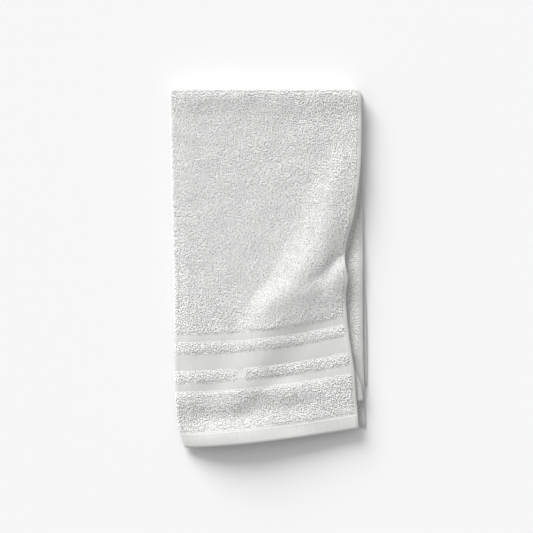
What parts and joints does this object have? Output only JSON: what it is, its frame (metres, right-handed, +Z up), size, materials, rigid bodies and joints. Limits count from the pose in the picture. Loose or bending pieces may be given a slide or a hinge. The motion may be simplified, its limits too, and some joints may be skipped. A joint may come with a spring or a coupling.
{
  "type": "folded terry hand towel",
  "caption": "White cotton terry hand towel, folded in quarters and lying flat, with a dobby border, plain hems and a slanting ridge in its top layers.",
  "frame": {"origin": "middle of the underside of the folded towel's box, on the surface it lies on", "axes": "+Z up, +Y towards the crosswise fold, +X towards the selvages, away from the lengthwise fold"},
  "size_m": [0.2077, 0.3794, 0.0258],
  "materials": {
    "cotton_terry": "matt white looped cotton pile, with smooth plain-woven stripes, selvages and hems"
  },
  "bodies": {
    "root": {"towel": "cotton_terry"}
  },
  "joints": []
}
